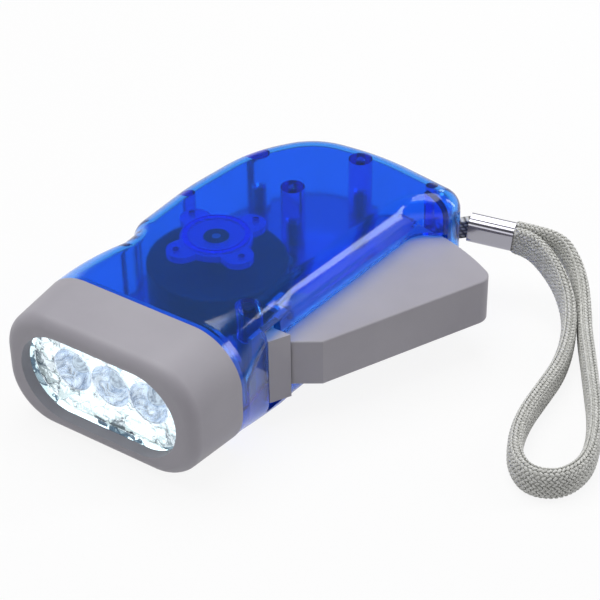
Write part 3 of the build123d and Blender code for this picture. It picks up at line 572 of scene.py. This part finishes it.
# %% Strap line
strap_width, strap_thickness = 7.0 * mm, 2.3 * mm
ferrule_start = Vector((33.6, 50.3, 16.4)) * mm
ferrule_heading = Vector((0.945, 0.31, -0.09)).normalized()
ferrule_length, strap_lead, leg_gap = 10.6 * mm, 4.0 * mm, 0.05 * mm
legs_apart = strap_thickness / 2 + leg_gap
curve_order, curve_steps = 3, 12
strap_route = [
    (52.4, 59.6, 12.6), (56.9, 58.4, 10.0), (61.0, 55.0, 7.4),
    (65.0, 49.4, 5.2), (68.9, 42.6, 3.9), (73.6, 35.4, 3.6), (79.0, 26.8, 3.6),
    (84.2, 18.6, 3.6), (88.3, 10.0, 3.6), (90.4, 2.4, 3.6), (88.6, -4.6, 3.6),
    (82.8, -7.4, 3.6), (77.2, -4.2, 3.6), (73.6, 2.6, 3.6), (71.6, 10.4, 3.6),
    (70.8, 19.4, 3.6), (69.9, 28.6, 3.6), (67.3, 37.6, 4.2), (63.4, 45.4, 6.2),
    (58.6, 50.2, 9.2), (53.4, 52.8, 12.2),
]
across = Vector((-ferrule_heading.y, ferrule_heading.x, 0)).normalized()
ferrule_end = ferrule_start + ferrule_heading * ferrule_length
out_start, back_end = ferrule_end + across * legs_apart, ferrule_end - across * legs_apart
strap_points = [
    out_start, out_start + ferrule_heading * strap_lead,
    *[Vector(point) * mm for point in strap_route],
    back_end + ferrule_heading * strap_lead, back_end,
]


def smooth_line(name, points):
    """Points along the NURBS curve that has the given control points."""
    curve = bpy.data.curves.new(name, "CURVE")
    curve.dimensions = "3D"
    spline = curve.splines.new("NURBS")
    spline.points.add(len(points) - 1)
    for control, point in zip(spline.points, points):
        control.co = (*point, 1)
    spline.order_u = curve_order
    spline.use_endpoint_u = True
    spline.resolution_u = curve_steps
    holder = add_object(name, curve)
    mesh = bpy.data.meshes.new_from_object(holder)
    line = [vertex.co.copy() for vertex in mesh.vertices]
    bpy.data.objects.remove(holder)
    bpy.data.meshes.remove(mesh)
    return line


strap_line = smooth_line("strap_line", strap_points)
distances = [0.0]
for before, after in zip(strap_line, strap_line[1:]):
    distances.append(distances[-1] + (after - before).length)
strap_length = distances[-1]
print("strap line:", len(strap_line), "points,", round(strap_length / mm, 1), "mm")

# %% [markdown]
# The braid's body is a flat band carried along the line. It always stands on its edge,
# which no bevelled curve could be made to do, so the rings of its skin are worked out here.
# Away from the crimp the hollow braid puffs up to one and a half times its thickness.

# %% Strap core
puff_reach, puff_most = 22 * mm, 1.5
core_inset, core_corners = 0.28 * mm, 16
side_bluntness, edge_bluntness, fine_steps = 0.6, 0.8, 24


def puff(distance):
    """How much thicker the hollow braid is at a place than where the ferrule crimps it."""
    share = min(distance, strap_length - distance) / puff_reach
    share = min(max(share, 0), 1)
    return 1 + (puff_most - 1) * share * share * (3 - 2 * share)


def band_frames(line):
    """For each point of a line: the point, its direction, the band's side and its rise."""
    frames = []
    for index, point in enumerate(line):
        ahead = line[min(index + 1, len(line) - 1)]
        behind = line[max(index - 1, 0)]
        forward = (ahead - behind).normalized()
        side = forward.cross(Vector((0, 0, 1))).normalized()
        frames.append((point, forward, side, side.cross(forward).normalized()))
    return frames


def blunt(value, half, power):
    """A sine or cosine bent so that a circle becomes a flattened, round-cornered oval."""
    return abs(value) ** power * math.copysign(half, value)


def band_section(inset, corners):
    """Points round the flattened tube's section, with the way out at each."""
    half_thickness, half_width = (strap_thickness - inset) / 2, (strap_width - inset) / 2
    fine = [
        Vector((
            blunt(math.cos(angle), half_thickness, side_bluntness),
            blunt(math.sin(angle), half_width, edge_bluntness),
        ))
        for angle in [2 * math.pi * index / (corners * fine_steps)
                      for index in range(corners * fine_steps)]
    ]
    steps = [(b - a).length for a, b in zip(fine, fine[1:] + fine[:1])]
    spacing, travelled, section = sum(steps) / corners, 0, []
    for index, step in enumerate(steps):
        if travelled >= spacing * len(section) and len(section) < corners:
            along = fine[(index + 1) % len(fine)] - fine[index - 1]
            section.append((fine[index], Vector((along.y, -along.x)).normalized()))
        travelled += step
    return section


frames = band_frames(strap_line)
core_section = band_section(2 * core_inset, core_corners)
core_mesh = bpy.data.meshes.new("strap_core")
work = bmesh.new()
rings = [
    [
        work.verts.new(point + side * spot.x * puff(distance) + rise * spot.y)
        for spot, _ in core_section
    ]
    for (point, _, side, rise), distance in zip(frames, distances)
]
skin(work, rings)
work.faces.new(list(reversed(rings[0])))
work.faces.new(rings[-1])
bmesh.ops.recalc_face_normals(work, faces=work.faces)
work.to_mesh(core_mesh)
work.free()
strap_core = add_object("strap_core", core_mesh)
print("strap core faces:", len(core_mesh.polygons))

# %% [markdown]
# The weave is real. Each yarn shows as a short plump stitch, slanting one way in one column
# and the other way in the next, which makes the herringbone. The script lays out one point
# for every stitch and stores with it how the stitch is turned.

# %% Stitches
stitch_columns, stitch_pitch = 20, 1.0 * mm
stitch_slant, slant_scatter = math.radians(33), 0.06
stitch_size = (1.5 * mm, 0.8 * mm, 0.56 * mm)
stitch_section = band_section(1.1 * core_inset, stitch_columns)
spots, turns = [], []
random.seed(11)
for row in range(int(strap_length / stitch_pitch)):
    for column, (spot, outward) in enumerate(stitch_section):
        target = (row + 0.5 + 0.5 * (column % 2)) * stitch_pitch
        if target > strap_length - stitch_pitch / 2:
            continue
        index = max(1, next(
            (number for number, distance in enumerate(distances) if distance >= target),
            len(distances) - 1,
        ))
        share = (target - distances[index - 1]) / (distances[index] - distances[index - 1])
        point = strap_line[index - 1].lerp(strap_line[index], share)
        forward, side, rise = (
            frames[index - 1][part].lerp(frames[index][part], share).normalized()
            for part in (1, 2, 3)
        )
        away = (side * outward.x + rise * outward.y).normalized()
        across_stitch = away.cross(forward).normalized()
        lean = 1 if column % 2 else -1
        slant = stitch_slant * lean + random.uniform(-slant_scatter, slant_scatter)
        lengthwise = forward * math.cos(slant) + across_stitch * math.sin(slant)
        stitch_turn = Matrix((lengthwise, away.cross(lengthwise), away)).transposed()
        spots.append(point + side * spot.x * puff(target) + rise * spot.y)
        turns.append(stitch_turn.to_euler())
stitch_mesh = bpy.data.meshes.new("strap_weave")
stitch_mesh.from_pydata(spots, [], [])
turn_layer = stitch_mesh.attributes.new("turn", "FLOAT_VECTOR", "POINT")
for item, stitch_turn in zip(turn_layer.data, turns):
    item.vector = stitch_turn
print("stitches:", len(spots))

# %% [markdown]
# The yarn is matt grey-white polyester. A mottle finer than a stitch keeps neighbours from
# looking alike, a fine grain stands for its filaments, and a little sheen for their fuzz.

# %% Yarn finish
strap_braid, braid_shader = new_material("strap_braid", (0.66, 0.66, 0.62), 0.8, Sheen_Weight=0.1)
mottle(strap_braid, braid_shader, (0.60, 0.60, 0.57), (0.74, 0.74, 0.71), scale=900)
grain(strap_braid, braid_shader, scale=5000, strength=0.25, distance=0.0001)
print("finish for the strap:", strap_braid.name)

# %% [markdown]
# Thousands of equal stitches call for instances. The tree puts a small ball on every
# point, stretched to the stitch's size and turned as stored there, and joins them to the
# core. Size, core and yarn are its inputs, so that another braid needs no other tree.

# %% Weave tree
bead_segments, bead_rings, bead_radius = 6, 4, 0.5
weave_tree = bpy.data.node_groups.new("weave", "GeometryNodeTree")
for title, way, kind in (
    ("Geometry", "INPUT", "NodeSocketGeometry"),
    ("Stitch size", "INPUT", "NodeSocketVector"),
    ("Core", "INPUT", "NodeSocketObject"),
    ("Yarn", "INPUT", "NodeSocketMaterial"),
    ("Geometry", "OUTPUT", "NodeSocketGeometry"),
):
    weave_tree.interface.new_socket(title, in_out=way, socket_type=kind)
given = weave_tree.nodes.new("NodeGroupInput")
result = weave_tree.nodes.new("NodeGroupOutput")
bead = weave_tree.nodes.new("GeometryNodeMeshUVSphere")
bead.inputs["Segments"].default_value = bead_segments
bead.inputs["Rings"].default_value = bead_rings
bead.inputs["Radius"].default_value = bead_radius
smooth_bead = weave_tree.nodes.new("GeometryNodeSetShadeSmooth")
stored_turn = weave_tree.nodes.new("GeometryNodeInputNamedAttribute")
stored_turn.data_type = "FLOAT_VECTOR"
stored_turn.inputs["Name"].default_value = "turn"
as_rotation = weave_tree.nodes.new("FunctionNodeEulerToRotation")
place_beads = weave_tree.nodes.new("GeometryNodeInstanceOnPoints")
core_shape = weave_tree.nodes.new("GeometryNodeObjectInfo")
gather = weave_tree.nodes.new("GeometryNodeJoinGeometry")
realize = weave_tree.nodes.new("GeometryNodeRealizeInstances")
dye = weave_tree.nodes.new("GeometryNodeSetMaterial")
for source, target in (
    (given.outputs["Geometry"], place_beads.inputs["Points"]),
    (bead.outputs["Mesh"], smooth_bead.inputs["Geometry"]),
    (smooth_bead.outputs["Geometry"], place_beads.inputs["Instance"]),
    (stored_turn.outputs["Attribute"], as_rotation.inputs["Euler"]),
    (as_rotation.outputs["Rotation"], place_beads.inputs["Rotation"]),
    (given.outputs["Stitch size"], place_beads.inputs["Scale"]),
    (given.outputs["Core"], core_shape.inputs["Object"]),
    (core_shape.outputs["Geometry"], gather.inputs["Geometry"]),
    (place_beads.outputs["Instances"], gather.inputs["Geometry"]),
    (gather.outputs["Geometry"], realize.inputs["Geometry"]),
    (realize.outputs["Geometry"], dye.inputs["Geometry"]),
    (given.outputs["Yarn"], dye.inputs["Material"]),
    (dye.outputs["Geometry"], result.inputs["Geometry"]),
):
    weave_tree.links.new(source, target)
print("weave tree nodes:", len(weave_tree.nodes))

# %% [markdown]
# The woven strap takes the place of the smooth solid one. The tree's result is kept as a
# plain mesh, since the pieces have to stand alone.

# %% Woven strap
weave_holder = add_object("weave_holder", stitch_mesh)
modifier = weave_holder.modifiers.new("weave", "NODES")
modifier.node_group = weave_tree
socket_names = {item.name: item.identifier for item in weave_tree.interface.items_tree
                if item.in_out == "INPUT"}
modifier[socket_names["Stitch size"]] = stitch_size
modifier[socket_names["Core"]] = strap_core
modifier[socket_names["Yarn"]] = strap_braid
ready = weave_holder.evaluated_get(bpy.context.evaluated_depsgraph_get())
strap_mesh = bpy.data.meshes.new_from_object(ready)
strap_mesh.name = "strap_woven"
for old in (weave_holder, strap_core):
    bpy.data.objects.remove(old)
strap = add_object("strap_woven", strap_mesh)
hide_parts("lanyard_loop")
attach(strap, "housing")
print("strap faces:", len(strap_mesh.polygons))

# %% [markdown]
# The short neck between ferrule and housing is the same braid, too small to weave stitch by
# stitch; two crossing waves and a bump stand in for its yarns, and the ramp's dark end paints
# shade into the gaps between them.

# %% Neck finish
neck_braid, neck_shader = new_material("neck_braid", (0.5, 0.5, 0.47), 0.8)
neck_place = add_node(neck_braid, "ShaderNodeTexCoord")
neck_rows, neck_cross = (
    add_node(neck_braid, "ShaderNodeTexWave", bands_direction=direction, Scale=330.0)
    for direction in ("DIAGONAL", "Z")
)
neck_weave = add_node(neck_braid, "ShaderNodeMath", operation="MULTIPLY")
# painted shade: the ramp's dark end darkens the gaps between the yarns
neck_gap_shade_ramp = add_ramp(neck_braid, (0.0, (0.12, 0.12, 0.12)), (0.6, (0.6, 0.6, 0.56)))
neck_bump = add_node(neck_braid, "ShaderNodeBump", Strength=0.6, Distance=0.0003)
wire(
    neck_braid,
    (neck_place.outputs["Object"], neck_rows.inputs["Vector"]),
    (neck_place.outputs["Object"], neck_cross.inputs["Vector"]),
    (neck_rows.outputs["Fac"], neck_weave.inputs[0]),
    (neck_cross.outputs["Fac"], neck_weave.inputs[1]),
    (neck_weave.outputs[0], neck_gap_shade_ramp.inputs["Fac"]),
    (neck_weave.outputs[0], neck_bump.inputs["Height"]),
    (neck_gap_shade_ramp.outputs["Color"], neck_shader.inputs["Base Color"]),
    (neck_bump.outputs["Normal"], neck_shader.inputs["Normal"]),
)
wear(neck_braid, "lanyard_neck")

# %% [markdown]
# The light tent begins with a white floor. It glows for the camera, for mirrors and through
# clear walls, so that it reads as pure white with the object's soft shadow on it, and is
# plain grey paint for every other ray, so that it does not flood the object with light.

# %% Floor
floor_reach, floor_drop = 3.0, 0.0002
floor_glow, glow_share = 1.05, 0.85


def directly_seen(owner):
    """1 for rays from the camera, off a mirror or through a clear wall, and else 0."""
    path = add_node(owner, "ShaderNodeLightPath")
    seen = add_node(owner, "ShaderNodeMath", operation="MAXIMUM")
    seen_through = add_node(owner, "ShaderNodeMath", operation="MAXIMUM")
    wire(
        owner,
        (path.outputs["Is Camera Ray"], seen.inputs[0]),
        (path.outputs["Is Glossy Ray"], seen.inputs[1]),
        (seen.outputs[0], seen_through.inputs[0]),
        (path.outputs["Is Transmission Ray"], seen_through.inputs[1]),
    )
    return seen_through.outputs[0]


floor_mesh = bpy.data.meshes.new("floor")
floor_mesh.from_pydata(
    [(x * floor_reach, y * floor_reach, -floor_drop)
     for x, y in ((-1, -1), (1, -1), (1, 1), (-1, 1))],
    [], [(0, 1, 2, 3)],
)
floor = add_object("floor", floor_mesh)
floor_white, floor_shader = new_material("floor_white", (0.6, 0.6, 0.6), 0.9)
floor_share = add_node(floor_white, "ShaderNodeMath", operation="MULTIPLY")
floor_share.inputs[1].default_value = glow_share
glow = add_node(floor_white, "ShaderNodeEmission", Color=(1, 1, 1, 1), Strength=floor_glow)
floor_mix = add_node(floor_white, "ShaderNodeMixShader")
floor_output = floor_white.node_tree.nodes["Material Output"]
wire(
    floor_white,
    (directly_seen(floor_white), floor_share.inputs[0]),
    (floor_share.outputs[0], floor_mix.inputs["Fac"]),
    (floor_shader.outputs["BSDF"], floor_mix.inputs[1]),
    (glow.outputs["Emission"], floor_mix.inputs[2]),
    (floor_mix.outputs["Shader"], floor_output.inputs["Surface"]),
)
floor.data.materials.append(floor_white)
print("floor:", 2 * floor_reach, "m across")

# %% [markdown]
# Round the floor stand white walls under a dim ceiling. The walls give the shells' edges
# their pale outline, and the ceiling keeps the tops from going milky. A ramp over the
# height of the viewing direction makes both. It lights the object at a little over half
# the strength at which it is seen.

# %% Surround
surround_light, surround_seen = 0.55, 1.0
world = bpy.data.worlds.new("surround")
scene.world = world
world.use_nodes = True
surround = world.node_tree.nodes["Background"]
world_level = add_node(
    world, "ShaderNodeMapRange", To_Min=surround_light, To_Max=surround_seen
)
tent_place = add_node(world, "ShaderNodeTexCoord")
tent_split = add_node(world, "ShaderNodeSeparateXYZ")
tent_ramp = add_ramp(world, (0.12, (1, 1, 1)), (0.42, (0.2, 0.2, 0.21)))
wire(
    world,
    (directly_seen(world), world_level.inputs["Value"]),
    (world_level.outputs["Result"], surround.inputs["Strength"]),
    (tent_place.outputs["Generated"], tent_split.inputs["Vector"]),
    (tent_split.outputs["Z"], tent_ramp.inputs["Fac"]),
    (tent_ramp.outputs["Color"], surround.inputs["Color"]),
)
print("surround nodes:", len(world.node_tree.nodes))

# %% [markdown]
# Three soft lamps light the tent: a broad one overhead, a strip behind the lever's side
# that draws the long highlight down the shell's edge, and a low fill from the front. A
# small bluish one at the lens stands for the flashlight's own beam on the floor and is
# hidden from view, and a last one puts the glint on the ferrule.

# %% Studio lamps
aim_point = (0.02, 0.0, 0.01)


def soft_lamp(name, direction, distance, width, height, power, target=aim_point):
    data = bpy.data.lights.new(name, "AREA")
    data.shape = "RECTANGLE"
    data.size, data.size_y = width, height
    data.energy = power
    lamp = add_object(name, data)
    aim = Vector(direction).normalized()
    lamp.location = Vector(target) + aim * distance
    lamp.rotation_mode = "QUATERNION"
    lamp.rotation_quaternion = aim.to_track_quat("Z", "Y")
    return lamp


soft_lamp("overhead", (-0.25, 0.1, 1.0), distance=0.8, width=0.7, height=0.7, power=5.6)
soft_lamp("edge_strip", (0.60, 0.62, 0.46), distance=0.7, width=0.14, height=0.6, power=1.5)
soft_lamp("front_fill", (0.1, -1.0, 0.45), distance=0.9, width=0.5, height=0.4, power=0.9)
beam = soft_lamp(
    "beam", (0, -1, 0), distance=0.0, width=0.034, height=0.014, power=0.02,
    target=(0, -0.0412, 0.015),
)
beam.data.color = (0.62, 0.72, 1.0)
beam.visible_camera = beam.visible_glossy = beam.visible_transmission = False
soft_lamp(
    "ferrule_glint", (-0.300, 0.764, 0.570), distance=0.25, width=0.05, height=0.05,
    power=0.03, target=(0.039, 0.052, 0.018),
)
scene.view_settings.view_transform = "Standard"
